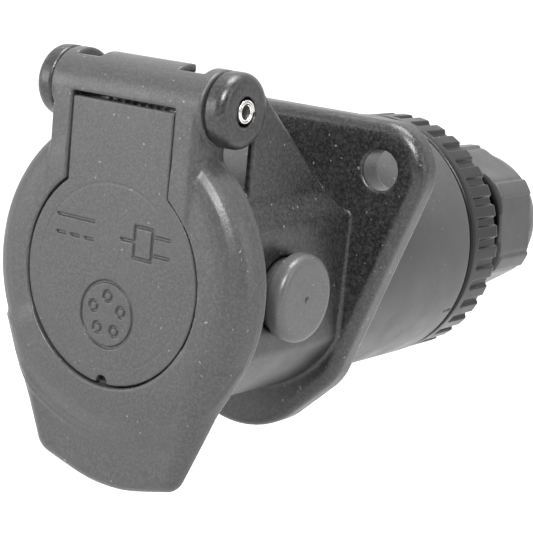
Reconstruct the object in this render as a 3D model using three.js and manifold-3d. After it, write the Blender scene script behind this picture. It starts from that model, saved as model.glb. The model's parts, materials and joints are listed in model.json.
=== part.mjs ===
// Panel-mounted five-contact socket for a trailer's 12 V brake electronics, with a sprung lid at the
// front, a two-hole flange, and an extension sleeve, union ring and cable gland behind.
// Millimetres. X to the right, Y backwards along the socket axis, Z up.
// The origin is on the socket axis, in the plane of the flange's rear face.

import * as THREE from 'three';
import { mergeVertices } from 'three/addons/utils/BufferGeometryUtils.js';
import Module from 'manifold-3d';

const wasm = await Module();
wasm.setup();

// ---------------------------------------------------------------- driving dimensions

const GAP = 0.3;                     // space kept between pieces that touch or locate each other
const FINE = 48;                     // facets round a large circle
const MEDIUM = 32;                   // facets round a middle-sized circle
const SMALL = 16;                    // facets round a contact or a pin

const FLANGE = {
  thick: 6, holeX: 31.1, holeZ: 23.5, holeR: 4.25, cornerR: 10,
  cheekX: 12.65, cheekZ: -15.1, cheekR: 14, lobeZ: -16.7, lobeR: 21.6,
};
const BODY = { r: 28.4, flatX: 25.3, mouthY: -42.8, cavityR: 22.5, shoulderY: -7.7 };
const SPIGOT = { r: 23.6, boreR: 20, length: 10 };
const SLEEVE_SEAT = { r: 29.2, depth: 0.8 };   // shallow recess in the flange's rear face

const HINGE = { y: -43.03, z: 35.5, barrelR: 7.34, pinR: 2.5, pinBoreR: 1.3, holeR: 2.8 };
const EAR = { inner: 19.3, outer: 23.86 };
const WEB = { inner: 20.6, outer: 23.9, frontY: -37.6, slope: 0.86, footZ: 12 };
const SWEEP_R = 8;                   // room round the hinge axis for the lid's barrel

const STUD = {
  y: -27.8, z: -0.8, stemR: 7.3, headR: 8.9, headX: 27.6, outerX: 31.4, edge: 2, spigotR: 3.5, spigotX: 23.9,
};

const LID = {
  faceY: -50.83, plateRearY: -47.4, gasketSeatY: -45.2, skirtRearY: -41.8,
  flatR: 24.5, browR: 29, browY: -50.3, shoulderR: 31.2, shoulderY: -49, cheekR: 32.2, cheekY: -47,
  rimR: 32.5, rimY: -44.6, skirtOuterR: 31.7, skirtR: 29.2, recessR: 22,
  solidY: -47.1, neckX: 18.2, neckZ: 12, barrelX: 19,
};
const CHAMBER = { r: 5.3, x: 16, floorZ: 28.1, plateY: -47.2 };
const TONGUE = { x: 10, endY: -41.8, notchY: -46.8 };
const LIP = {
  rootX: 30.4, rootZ: -11.5, kneeX: 19.4, kneeZ: -35, cornerX: 17.3, cornerZ: -39.6,
  tipX: 13.4, tipZ: -40.9, endZ: -42.85,
  bendZ: -28, rootDrop: 0.2, bendDrop: 1.5, endDrop: 2.4, rootDepth: 6.3, bendDepth: 5.9, endDepth: 5,
};
const INLAY = { r: 21.55, x: 12.7, topZ: 34.05, gap: 0.45, recess: 0.15, thick: 1.4, notchR: 1.5 };
const LID_GASKET = { inner: 23, outer: 28.2, front: -44.9, rear: -43.1 };
const SPRING = { coilR: 4, wireR: 0.55, halfLength: 7.6, turns: 7, stepsPerTurn: 12, legZ: 30.6, footZ: 28.3 };

const INSERT = { frontY: -15, stepY: -8, rearY: 6, frontR: 22.2, rearR: 19.7 };
const RETAINER = { inner: 15.9, outer: 19.6, front: 6.3, rear: 9.3 };
const CONTACT_CIRCLE_R = 12;
const CONTACT = { tipY: -36, collarY: -5, endY: 17, wireDepth: 8.5, screwY: 13 };
const POWER = { pinR: 2.5, barrelR: 3.5, wireR: 2.2 };
const SIGNAL = { pinR: 1.75, barrelR: 2.8, wireR: 1.5 };
const SCREW = { r: 1.4, inner: 14, outer: 17.6, slotWidth: 0.6, slotDepth: 0.8 };
const CONTACTS = [
  { number: 1, kind: 'power', angle: 126 },
  { number: 2, kind: 'signal', angle: 54 },
  { number: 3, kind: 'signal', angle: -18 },
  { number: 4, kind: 'power', angle: -90 },
  { number: 5, kind: 'signal', angle: 198 },
];

const SLEEVE = { r: 28.6, socketR: 24, shoulderY: 12.6, shoulderR: 21.5, shoulderEndY: 15.6, boreR: 22.6 };
const SLEEVE_END = { y: 40.6, bevel: 0.9, threadR: 25, threadEndY: 50 };
const SLEEVE_GASKET = { inner: 20.5, outer: 23.4, front: 10.3, rear: 12.3 };
const UNION = {
  frontY: 42.2, rearY: 54.1, r: 28.4, bevel: 0.7, boreR: 25.3, lipY: 52.9, lipR: 22.4,
  band: 3, flutes: 36, fluteDepth: 0.9, fluteWidth: 2,
};
const SHELL = {
  spigotR: 20, spigotBoreR: 17.8, spigotY: 44, collarY: 50.3, collarR: 24.4, collarEndY: 52.6,
  shoulderR: 22, coneY: 56, coneEndR: 14.6, coneEndY: 71, neckR: 13.7, neckY: 73, endY: 92.5,
  pocketR: 11.2, pocketY: 82, throatR: 9, throatY: 72,
};
const O_RING = { centreR: 21.3, wireR: 0.95, y: 47 };
const SEAL = { inner: 7, outer: 10.9, front: 82.3, rear: 93.2 };
const SLIP_RING = { inner: 8.5, outer: 13.5, front: 93.5, rear: 95.5 };
const NUT = {
  frontY: 76.2, acrossFlats: 34.6, cornerR: 19, bevel: 0.5, cornerEndY: 91.7, domeR: 17.7,
  domeMidR: 16.3, domeMidY: 95, crownR: 13, rearY: 99.2,
  skirtR: 16, skirtEndY: 83, boreR: 14, seatY: 95.8, openR: 10.5, turn: 5,
};

// ---------------------------------------------------------------- shape helpers

const AXIS_X = new THREE.Vector3(1, 0, 0);
const AXIS_Y = new THREE.Vector3(0, 1, 0);
const AXIS_Z = new THREE.Vector3(0, 0, 1);
const MERGE = 1e-4;
const radians = THREE.MathUtils.degToRad;

// A closed geometry as a solid: corners merged, flat triangles dropped, faces turned outwards.
function solid(geometry) {
  const bare = geometry.clone();
  bare.deleteAttribute('normal');
  bare.deleteAttribute('uv');
  const merged = mergeVertices(bare, MERGE);
  const corners = merged.index.array;
  const kept = [];
  for (let i = 0; i < corners.length; i += 3) {
    const [a, b, c] = corners.slice(i, i + 3);
    if (a !== b && b !== c && c !== a) {
      kept.push(a, b, c);
    }
  }
  const vertProperties = Float32Array.from(merged.attributes.position.array);
  const build = (triVerts) => new wasm.Manifold(new wasm.Mesh({ numProp: 3, vertProperties, triVerts }));
  const body = build(Uint32Array.from(kept));
  if (body.volume() > 0) {
    return body;
  }
  return build(Uint32Array.from(kept.reverse()));
}

function joined(first, ...others) {
  return others.reduce((sum, piece) => sum.add(piece), first);
}

function cut(base, ...tools) {
  return tools.reduce((rest, tool) => rest.subtract(tool), base);
}

function geometryOf(body) {
  const mesh = body.getMesh();
  const geometry = new THREE.BufferGeometry();
  geometry.setAttribute('position', new THREE.BufferAttribute(new Float32Array(mesh.vertProperties), 3));
  geometry.setIndex(new THREE.BufferAttribute(new Uint32Array(mesh.triVerts), 1));
  geometry.computeVertexNormals();
  return geometry;
}

// A profile of [radius, y] points turned about the socket axis.
function turned(profile, facets = FINE) {
  const points = profile.map(([r, y]) => new THREE.Vector2(r, y));
  return solid(new THREE.LatheGeometry(points, facets));
}

function closed(profile) {
  return [...profile, profile[0]];
}

function ring(inner, outer, front, rear, facets = FINE) {
  return turned(closed([[inner, front], [outer, front], [outer, rear], [inner, rear]]), facets);
}

function disc(r, front, rear, facets = FINE) {
  return turned([[0, front], [r, front], [r, rear], [0, rear]], facets);
}

// The same profile turned about an axis along X, through the point (y, z).
function turnedAlongX(profile, y, z, facets = MEDIUM) {
  const points = profile.map(([r, x]) => new THREE.Vector2(r, x));
  const geometry = new THREE.LatheGeometry(points, facets);
  geometry.rotateZ(-Math.PI / 2);
  geometry.translate(0, y, z);
  return solid(geometry);
}

function rodAlongX(r, x0, x1, y, z, facets = MEDIUM) {
  return turnedAlongX([[0, x0], [r, x0], [r, x1], [0, x1]], y, z, facets);
}

function block(x0, x1, y0, y1, z0, z1) {
  const geometry = new THREE.BoxGeometry(x1 - x0, y1 - y0, z1 - z0);
  geometry.translate((x0 + x1) / 2, (y0 + y1) / 2, (z0 + z1) / 2);
  return solid(geometry);
}

// A shape drawn in X and Z, as a plate from y = front to y = rear.
function plate(shape, front, rear, curveSegments = 8) {
  const geometry = new THREE.ExtrudeGeometry(shape, { depth: rear - front, bevelEnabled: false, curveSegments });
  geometry.rotateX(Math.PI / 2);
  geometry.translate(0, rear, 0);
  return solid(geometry);
}

// A side profile of [y, z] points, as a slab from x0 to x1.
function slab(profile, x0, x1) {
  const shape = new THREE.Shape(profile.map(([y, z]) => new THREE.Vector2(y, z)));
  const geometry = new THREE.ExtrudeGeometry(shape, { depth: x1 - x0, bevelEnabled: false });
  geometry.applyMatrix4(new THREE.Matrix4().makeBasis(AXIS_Y, AXIS_Z, AXIS_X));
  geometry.translate(x0, 0, 0);
  return solid(geometry);
}

function mirroredPair(body) {
  return body.add(body.mirror([1, 0, 0]));
}

// The outline of a belt round circles that are listed anticlockwise.
function beltShape(circles) {
  const tangent = circles.map((circle, i) => {
    const next = circles[(i + 1) % circles.length];
    const dx = next.x - circle.x;
    const dz = next.z - circle.z;
    return Math.atan2(dz, dx) - Math.acos((circle.r - next.r) / Math.hypot(dx, dz));
  });
  const shape = new THREE.Shape();
  circles.forEach((circle, i) => {
    const before = tangent[(i + circles.length - 1) % circles.length];
    shape.absarc(circle.x, circle.z, circle.r, before, tangent[i], false);
  });
  return shape;
}

// ---------------------------------------------------------------- front housing and hinge

function flangePlate() {
  const shape = beltShape([
    { x: 0, z: FLANGE.lobeZ, r: FLANGE.lobeR },
    { x: FLANGE.cheekX, z: FLANGE.cheekZ, r: FLANGE.cheekR },
    { x: FLANGE.holeX, z: FLANGE.holeZ, r: FLANGE.cornerR },
    { x: -FLANGE.holeX, z: FLANGE.holeZ, r: FLANGE.cornerR },
    { x: -FLANGE.cheekX, z: FLANGE.cheekZ, r: FLANGE.cheekR },
  ]);
  for (const side of [-1, 1]) {
    const hole = new THREE.Path();
    hole.absarc(side * FLANGE.holeX, FLANGE.holeZ, FLANGE.holeR, 0, 2 * Math.PI, true);
    shape.holes.push(hole);
  }
  return cut(plate(shape, -FLANGE.thick, 0, 12), disc(SLEEVE_SEAT.r, -SLEEVE_SEAT.depth, 1));
}

// A straight-topped web that runs down from the ear, tangent to it, to the flange.
function webProfile() {
  const normal = new THREE.Vector2(WEB.slope, 1).normalize();
  const tangentY = HINGE.y + HINGE.barrelR * normal.x;
  const tangentZ = HINGE.z + HINGE.barrelR * normal.y;
  const footY = 0.5 - FLANGE.thick;
  const footTopZ = tangentZ - WEB.slope * (footY - tangentY);
  return [
    [WEB.frontY, WEB.footZ], [footY, WEB.footZ], [footY, footTopZ],
    [tangentY, tangentZ], [HINGE.y, HINGE.z], [WEB.frontY, HINGE.z - HINGE.barrelR / 2],
  ];
}

function frontHousing() {
  const inFlange = -FLANGE.thick / 2;
  const barrel = turned([
    [0, BODY.mouthY], [BODY.r, BODY.mouthY], [BODY.r, inFlange],
    [SPIGOT.r, inFlange], [SPIGOT.r, SPIGOT.length], [0, SPIGOT.length],
  ]);
  const flatSide = block(BODY.flatX, BODY.r + 1, BODY.mouthY - 1, -FLANGE.thick, -BODY.r, BODY.r);
  const web = slab(webProfile(), WEB.inner, WEB.outer);
  const ear = rodAlongX(HINGE.barrelR, EAR.inner, EAR.outer, HINGE.y, HINGE.z);
  const outside = joined(cut(barrel, mirroredPair(flatSide)), flangePlate(), mirroredPair(web), mirroredPair(ear));
  const cavity = turned([
    [0, BODY.mouthY - 1], [BODY.cavityR, BODY.mouthY - 1], [BODY.cavityR, BODY.shoulderY],
    [SPIGOT.boreR, BODY.shoulderY], [SPIGOT.boreR, SPIGOT.length + 1], [0, SPIGOT.length + 1],
  ]);
  const lidRoom = rodAlongX(SWEEP_R, -EAR.inner, EAR.inner, HINGE.y, HINGE.z);
  const pinHole = rodAlongX(HINGE.holeR, -EAR.outer - 1, EAR.outer + 1, HINGE.y, HINGE.z, SMALL);
  const studHole = rodAlongX(STUD.spigotR + GAP, STUD.spigotX - GAP, BODY.r, STUD.y, STUD.z, SMALL);
  return cut(outside, cavity, lidRoom, pinHole, mirroredPair(studHole));
}

function lockingStud() {
  const rootX = BODY.flatX + GAP;
  const profile = [
    [0, STUD.spigotX], [STUD.spigotR, STUD.spigotX], [STUD.spigotR, rootX], [STUD.stemR, rootX],
    [STUD.stemR, STUD.headX], [STUD.headR - 0.6, STUD.headX], [STUD.headR, STUD.headX + 0.6],
    [STUD.headR, STUD.outerX - STUD.edge], [STUD.headR - STUD.edge / 3, STUD.outerX - STUD.edge / 3],
    [STUD.headR - STUD.edge, STUD.outerX], [0, STUD.outerX],
  ];
  return turnedAlongX(profile, STUD.y, STUD.z);
}

function hingePin() {
  const profile = closed([
    [HINGE.pinBoreR, -EAR.outer], [HINGE.pinR, -EAR.outer], [HINGE.pinR, EAR.outer], [HINGE.pinBoreR, EAR.outer],
  ]);
  return turnedAlongX(profile, HINGE.y, HINGE.z, SMALL);
}

// A wound wire: a foot on the housing, the coil round the pin, and a leg behind the lid's plate.
function torsionSpring() {
  const points = [];
  const footY = HINGE.y + SPRING.coilR;
  for (const z of [SPRING.footZ, SPRING.footZ + 2.5, SPRING.footZ + 5]) {
    points.push(new THREE.Vector3(-SPRING.halfLength, footY, z));
  }
  const steps = (SPRING.turns + 0.5) * SPRING.stepsPerTurn;
  for (let i = 0; i <= steps; i += 1) {
    const angle = (i / SPRING.stepsPerTurn) * 2 * Math.PI;
    const x = -SPRING.halfLength + (2 * SPRING.halfLength * i) / steps;
    const y = HINGE.y + SPRING.coilR * Math.cos(angle);
    const z = HINGE.z + SPRING.coilR * Math.sin(angle);
    points.push(new THREE.Vector3(x, y, z));
  }
  const frontY = HINGE.y - SPRING.coilR;
  for (const fraction of [0.5, 1]) {
    const z = HINGE.z + (SPRING.legZ - HINGE.z) * fraction;
    points.push(new THREE.Vector3(SPRING.halfLength, frontY + 0.8 * fraction, z));
  }
  const path = new THREE.CatmullRomCurve3(points, false, 'centripetal');
  const section = new THREE.Shape();
  section.absarc(0, 0, SPRING.wireR, 0, 2 * Math.PI, false);
  return solid(new THREE.ExtrudeGeometry(section, { steps: points.length - 1, extrudePath: path, curveSegments: 3 }));
}

// ---------------------------------------------------------------- lid

function lidDisc() {
  return turned([
    [0, LID.faceY], [LID.flatR, LID.faceY], [LID.browR, LID.browY], [LID.shoulderR, LID.shoulderY],
    [LID.cheekR, LID.cheekY], [LID.rimR, LID.rimY], [LID.skirtOuterR, LID.rimY],
    [LID.skirtOuterR, LID.skirtRearY], [LID.skirtR, LID.skirtRearY], [LID.skirtR, LID.gasketSeatY],
    [LID.recessR, LID.gasketSeatY], [LID.recessR, LID.plateRearY], [0, LID.plateRearY],
  ]);
}

function lipOutline() {
  const shape = new THREE.Shape();
  const inside = LID.recessR;
  shape.moveTo(-inside, LIP.rootZ);
  shape.lineTo(-LIP.rootX, LIP.rootZ);
  shape.lineTo(-LIP.kneeX, LIP.kneeZ);
  shape.quadraticCurveTo(-LIP.cornerX, LIP.cornerZ, -LIP.tipX, LIP.tipZ);
  shape.quadraticCurveTo(0, 2 * LIP.endZ - LIP.tipZ, LIP.tipX, LIP.tipZ);
  shape.quadraticCurveTo(LIP.cornerX, LIP.cornerZ, LIP.kneeX, LIP.kneeZ);
  shape.lineTo(LIP.rootX, LIP.rootZ);
  shape.lineTo(inside, LIP.rootZ);
  return shape;
}

function fingerLip() {
  const outline = plate(lipOutline(), LID.faceY, LID.skirtRearY, 5);
  const wedge = slab([
    [LID.faceY + LIP.rootDrop, LIP.rootZ + 1], [LID.faceY + LIP.bendDrop, LIP.bendZ],
    [LID.faceY + LIP.endDrop, LIP.endZ - 1], [LID.faceY + LIP.endDepth, LIP.endZ - 1],
    [LID.faceY + LIP.bendDepth, LIP.bendZ], [LID.faceY + LIP.rootDepth, LIP.rootZ + 1],
  ], -LID.rimR, LID.rimR);
  const inside = disc(LID.skirtR + 1, LID.solidY, LID.skirtRearY + 1);
  return cut(outline.intersect(wedge), inside);
}

function keyholeShape(grow) {
  const r = INLAY.r + grow;
  const x = INLAY.x + grow;
  const start = Math.acos(x / r);
  const shape = new THREE.Shape();
  shape.moveTo(x, INLAY.topZ + grow);
  shape.lineTo(-x, INLAY.topZ + grow);
  shape.absarc(0, 0, r, Math.PI - start, 2 * Math.PI + start, false);
  return shape;
}

function lidBody() {
  const neck = block(-LID.neckX, LID.neckX, LID.faceY, CHAMBER.plateY, LID.neckZ, HINGE.z);
  const barrel = rodAlongX(HINGE.barrelR, -LID.barrelX, LID.barrelX, HINGE.y, HINGE.z);
  const outside = joined(lidDisc(), neck, barrel, fingerLip());
  const back = -30;
  const top = HINGE.z + HINGE.barrelR + 1;
  const chamber = joined(
    rodAlongX(CHAMBER.r, -CHAMBER.x, CHAMBER.x, HINGE.y, HINGE.z),
    block(-CHAMBER.x, CHAMBER.x, CHAMBER.plateY, back, CHAMBER.floorZ, HINGE.z),
    block(-CHAMBER.x, CHAMBER.x, TONGUE.endY, back, CHAMBER.floorZ, top),
    mirroredPair(block(TONGUE.x, CHAMBER.x, TONGUE.notchY, back, HINGE.z, top)),
  );
  const earRoom = mirroredPair(rodAlongX(SWEEP_R, LID.barrelX, LID.rimR, HINGE.y, HINGE.z));
  const pinHole = rodAlongX(HINGE.holeR, -LID.barrelX - 1, LID.barrelX + 1, HINGE.y, HINGE.z, SMALL);
  const pocketFloor = LID.faceY + INLAY.recess + INLAY.thick + GAP;
  const pocket = plate(keyholeShape(INLAY.gap), LID.faceY - 1, pocketFloor, 14);
  return cut(outside, chamber, earRoom, pinHole, pocket);
}

function lidInlay() {
  const front = LID.faceY + INLAY.recess;
  const face = plate(keyholeShape(0), front, front + INLAY.thick, 14);
  const notch = disc(INLAY.notchR, LID.faceY - 1, front + INLAY.thick + 1, SMALL).translate([0, 0, -INLAY.r]);
  return cut(face, notch);
}

// ---------------------------------------------------------------- contacts

function contactSize(contact) {
  return contact.kind === 'power' ? POWER : SIGNAL;
}

// Places a piece built round the Y axis on the contact circle, turned to face outwards.
function onContactCircle(body, angle) {
  return body.translate([CONTACT_CIRCLE_R, 0, 0]).rotate([0, -angle, 0]);
}

function contactHole(size) {
  const past = 1;
  return turned([
    [0, INSERT.frontY - past], [size.pinR + GAP, INSERT.frontY - past],
    [size.pinR + GAP, CONTACT.collarY - GAP], [size.barrelR + GAP, CONTACT.collarY - GAP],
    [size.barrelR + GAP, INSERT.rearY + past], [0, INSERT.rearY + past],
  ], SMALL);
}

function contactInsert() {
  const body = turned([
    [0, INSERT.frontY], [INSERT.frontR, INSERT.frontY], [INSERT.frontR, INSERT.stepY],
    [INSERT.rearR, INSERT.stepY], [INSERT.rearR, INSERT.rearY], [0, INSERT.rearY],
  ]);
  return cut(body, ...CONTACTS.map((contact) => onContactCircle(contactHole(contactSize(contact)), contact.angle)));
}

// A turned pin with a round nose; its rear barrel has a blind hole for the wire and a clamp screw hole.
function contactPin(contact) {
  const size = contactSize(contact);
  const holeFloor = CONTACT.endY - CONTACT.wireDepth;
  const pin = turned([
    [0, CONTACT.tipY], [size.pinR * 0.6, CONTACT.tipY + 0.4], [size.pinR, CONTACT.tipY + 1.8],
    [size.pinR, CONTACT.collarY], [size.barrelR, CONTACT.collarY], [size.barrelR, CONTACT.endY],
    [size.wireR, CONTACT.endY], [size.wireR, holeFloor], [0, holeFloor],
  ], SMALL);
  const screwHole = rodAlongX(SCREW.r + GAP, 0, size.barrelR + 1, CONTACT.screwY, 0, SMALL);
  return onContactCircle(cut(pin, screwHole), contact.angle);
}

function terminalScrew(contact) {
  const shank = rodAlongX(SCREW.r, SCREW.inner, SCREW.outer, CONTACT.screwY, 0, SMALL);
  const half = SCREW.slotWidth / 2;
  const wide = SCREW.r + 1;
  const slot = block(
    SCREW.outer - SCREW.slotDepth, SCREW.outer + 1, CONTACT.screwY - wide, CONTACT.screwY + wide, -half, half,
  );
  return cut(shank, slot).rotate([0, -contact.angle, 0]);
}

// ---------------------------------------------------------------- sleeve, union ring and gland

function extensionSleeve() {
  const front = GAP - SLEEVE_SEAT.depth;
  return turned(closed([
    [SLEEVE.socketR, front], [SLEEVE.r, front], [SLEEVE.r, SLEEVE_END.y - SLEEVE_END.bevel],
    [SLEEVE.r - SLEEVE_END.bevel, SLEEVE_END.y], [SLEEVE_END.threadR, SLEEVE_END.y],
    [SLEEVE_END.threadR, SLEEVE_END.threadEndY], [SLEEVE.boreR, SLEEVE_END.threadEndY],
    [SLEEVE.boreR, SLEEVE.shoulderEndY], [SLEEVE.shoulderR, SLEEVE.shoulderEndY],
    [SLEEVE.shoulderR, SLEEVE.shoulderY], [SLEEVE.socketR, SLEEVE.shoulderY],
  ]));
}

// Grip flutes run back from a smooth band and break out of the ring's rear edge.
function unionRing() {
  const body = turned(closed([
    [UNION.boreR, UNION.frontY], [UNION.r - UNION.bevel, UNION.frontY], [UNION.r, UNION.frontY + UNION.bevel],
    [UNION.r, UNION.rearY - UNION.bevel], [UNION.r - UNION.bevel, UNION.rearY],
    [UNION.lipR, UNION.rearY], [UNION.lipR, UNION.lipY], [UNION.boreR, UNION.lipY],
  ]), 2 * UNION.flutes);
  const half = UNION.fluteWidth / 2;
  const flute = block(
    -half, half, UNION.frontY + UNION.band, UNION.rearY + 1, UNION.r - UNION.fluteDepth, UNION.r + 1,
  );
  const flutes = [];
  for (let i = 0; i < UNION.flutes; i += 1) {
    flutes.push(flute.rotate([0, (360 * (i + 0.5)) / UNION.flutes, 0]));
  }
  return cut(body, ...flutes);
}

function rearShell() {
  return turned(closed([
    [SHELL.spigotBoreR, SHELL.spigotY], [SHELL.spigotR, SHELL.spigotY], [SHELL.spigotR, SHELL.collarY],
    [SHELL.collarR, SHELL.collarY], [SHELL.collarR, SHELL.collarEndY], [SHELL.shoulderR, SHELL.collarEndY],
    [SHELL.shoulderR, SHELL.coneY], [SHELL.coneEndR, SHELL.coneEndY], [SHELL.neckR, SHELL.neckY],
    [SHELL.neckR, SHELL.endY], [SHELL.pocketR, SHELL.endY], [SHELL.pocketR, SHELL.pocketY],
    [SHELL.throatR, SHELL.pocketY], [SHELL.throatR, SHELL.throatY], [SHELL.spigotBoreR, SHELL.coneY],
  ]), MEDIUM);
}

function shellORing() {
  const sides = 8;
  const section = [];
  for (let i = 0; i <= sides; i += 1) {
    const angle = (i / sides) * 2 * Math.PI;
    section.push([O_RING.centreR + O_RING.wireR * Math.cos(angle), O_RING.y + O_RING.wireR * Math.sin(angle)]);
  }
  return turned(section, MEDIUM);
}

function glandNut() {
  const cornerRadius = NUT.acrossFlats / 2 / Math.cos(Math.PI / 6);
  const hexagon = new THREE.Shape();
  for (let i = 0; i < 6; i += 1) {
    const angle = radians(60 * i + 30 + NUT.turn);
    hexagon[i === 0 ? 'moveTo' : 'lineTo'](cornerRadius * Math.cos(angle), cornerRadius * Math.sin(angle));
  }
  const rounded = turned([
    [0, NUT.frontY], [NUT.cornerR - NUT.bevel, NUT.frontY], [NUT.cornerR, NUT.frontY + NUT.bevel],
    [NUT.cornerR, NUT.cornerEndY], [NUT.domeR, NUT.cornerEndY], [NUT.domeMidR, NUT.domeMidY],
    [NUT.crownR, NUT.rearY], [0, NUT.rearY],
  ]);
  const bore = turned([
    [0, NUT.frontY - 1], [NUT.skirtR, NUT.frontY - 1], [NUT.skirtR, NUT.skirtEndY],
    [NUT.boreR, NUT.skirtEndY], [NUT.boreR, NUT.seatY],
    [NUT.openR, NUT.seatY], [NUT.openR, NUT.rearY + 1], [0, NUT.rearY + 1],
  ], MEDIUM);
  return cut(plate(hexagon, NUT.frontY, NUT.rearY).intersect(rounded), bore);
}

// ---------------------------------------------------------------- assembly

const FINISHES = {
  grainyPlastic: { color: 0x2a2a2b, roughness: 0.62, metalness: 0 },
  lidPlastic: { color: 0x3c3d3f, roughness: 0.6, metalness: 0 },
  smoothPlastic: { color: 0x343436, roughness: 0.5, metalness: 0 },
  insertPlastic: { color: 0x202124, roughness: 0.55, metalness: 0 },
  rubber: { color: 0x18181a, roughness: 0.85, metalness: 0 },
  brass: { color: 0xc2a25a, roughness: 0.3, metalness: 1 },
  steel: { color: 0xc8cacc, roughness: 0.28, metalness: 1 },
};

const socket = new THREE.Group();

function add(parent, name, body, finish) {
  const mesh = new THREE.Mesh(geometryOf(body), new THREE.MeshStandardMaterial({ ...FINISHES[finish] }));
  mesh.name = name;
  parent.add(mesh);
}

add(socket, 'front_housing', frontHousing(), 'grainyPlastic');
const stud = lockingStud();
add(socket, 'locking_stud_right', stud, 'smoothPlastic');
add(socket, 'locking_stud_left', stud.mirror([1, 0, 0]), 'smoothPlastic');
add(socket, 'hinge_pin', hingePin(), 'steel');
add(socket, 'torsion_spring', torsionSpring(), 'steel');

add(socket, 'contact_insert', contactInsert(), 'insertPlastic');
add(
  socket, 'insert_retaining_ring',
  ring(RETAINER.inner, RETAINER.outer, RETAINER.front, RETAINER.rear, MEDIUM), 'insertPlastic',
);
for (const contact of CONTACTS) {
  add(socket, `${contact.kind}_contact_${contact.number}`, contactPin(contact), 'brass');
  add(socket, `terminal_screw_${contact.number}`, terminalScrew(contact), 'steel');
}

const lid = new THREE.Group();
add(lid, 'lid', lidBody(), 'lidPlastic');
add(lid, 'lid_inlay', lidInlay(), 'lidPlastic');
add(lid, 'lid_gasket', ring(LID_GASKET.inner, LID_GASKET.outer, LID_GASKET.front, LID_GASKET.rear), 'rubber');
socket.add(lid);

const rear = new THREE.Group();
add(rear, 'extension_sleeve', extensionSleeve(), 'smoothPlastic');
add(
  rear, 'sleeve_gasket',
  ring(SLEEVE_GASKET.inner, SLEEVE_GASKET.outer, SLEEVE_GASKET.front, SLEEVE_GASKET.rear, MEDIUM), 'rubber',
);
add(rear, 'union_ring', unionRing(), 'smoothPlastic');
add(rear, 'rear_shell', rearShell(), 'smoothPlastic');
add(rear, 'shell_o_ring', shellORing(), 'rubber');
add(rear, 'gland_seal', ring(SEAL.inner, SEAL.outer, SEAL.front, SEAL.rear, SMALL), 'rubber');
add(
  rear, 'gland_slip_ring',
  ring(SLIP_RING.inner, SLIP_RING.outer, SLIP_RING.front, SLIP_RING.rear, MEDIUM), 'smoothPlastic',
);
add(rear, 'gland_nut', glandNut(), 'smoothPlastic');
socket.add(rear);

export default socket;
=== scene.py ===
# The looks of a panel-mounted trailer brake-electronics socket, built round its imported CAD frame.
# Shapes are worked out in millimetres, in the CAD's frame: X right, Y backwards, Z up.
import json
import math

import bmesh
import bpy
import numpy as np
from mathutils import Matrix, Vector


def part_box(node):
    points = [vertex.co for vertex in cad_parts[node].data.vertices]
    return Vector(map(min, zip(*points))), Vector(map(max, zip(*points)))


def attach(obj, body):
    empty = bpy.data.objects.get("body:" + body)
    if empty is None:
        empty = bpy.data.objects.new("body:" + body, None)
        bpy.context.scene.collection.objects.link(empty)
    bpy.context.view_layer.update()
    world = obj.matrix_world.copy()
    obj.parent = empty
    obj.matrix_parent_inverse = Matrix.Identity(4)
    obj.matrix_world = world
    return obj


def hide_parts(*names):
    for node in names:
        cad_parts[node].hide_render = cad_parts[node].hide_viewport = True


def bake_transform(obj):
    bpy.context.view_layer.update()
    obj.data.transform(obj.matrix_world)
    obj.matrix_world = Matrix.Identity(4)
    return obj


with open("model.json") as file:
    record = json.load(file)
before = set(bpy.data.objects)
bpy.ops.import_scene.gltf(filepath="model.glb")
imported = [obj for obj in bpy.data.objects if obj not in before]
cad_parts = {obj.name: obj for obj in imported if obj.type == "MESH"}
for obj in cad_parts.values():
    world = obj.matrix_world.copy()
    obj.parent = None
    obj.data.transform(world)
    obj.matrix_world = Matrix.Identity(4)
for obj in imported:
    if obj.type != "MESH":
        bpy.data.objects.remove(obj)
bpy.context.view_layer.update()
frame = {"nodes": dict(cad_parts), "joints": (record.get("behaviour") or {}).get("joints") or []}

MM = 0.001


# ---------------------------------------------------------------- sizes taken from the frame

def low(node):
    """The lowest corner of a frame node's box, in millimetres."""
    return np.array(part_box(node)[0]) / MM


def high(node):
    return np.array(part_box(node)[1]) / MM


def joint(name):
    return next(j for j in frame["joints"] if j["name"] == name)


HINGE_Y, HINGE_Z = (v / MM for v in joint("lid_hinge")["pos_m"][1:])
FACE_Y = low("lid")[1]
TIP_Z = low("lid")[2]
BARREL_R = high("lid")[2] - HINGE_Z
EAR_X = high("hinge_pin")[0]
PIN_R = high("hinge_pin")[2] - HINGE_Z
SLEEVE_R = high("extension_sleeve")[0]
STUD_Y, STUD_Z = ((low("locking_stud_right") + high("locking_stud_right")) / 2)[1:]
PIN_HOLE_R = 2.9


# ---------------------------------------------------------------- distance fields
# A field gives the distance in millimetres from its surface, negative inside the solid.

def union(a, b, fillet=0.0):
    """Both solids, with a concave fillet where they meet."""
    inner = np.hypot(np.maximum(fillet - a, 0), np.maximum(fillet - b, 0))
    return np.maximum(fillet, np.minimum(a, b)) - inner


def both(a, b, edge=0.0):
    """What the two solids share, with a rounded edge where their surfaces cross."""
    outer = np.hypot(np.maximum(edge + a, 0), np.maximum(edge + b, 0))
    return np.minimum(-edge, np.maximum(a, b)) + outer


def cut(a, b, edge=0.0):
    """The first solid without the second."""
    return both(a, -b, edge)


def between(v, start, end):
    """A slab across one axis."""
    return np.maximum(start - v, v - end)


def rod(u, v, cu, cv, radius):
    """A long cylinder through (cu, cv)."""
    return np.hypot(u - cu, v - cv) - radius


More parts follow.
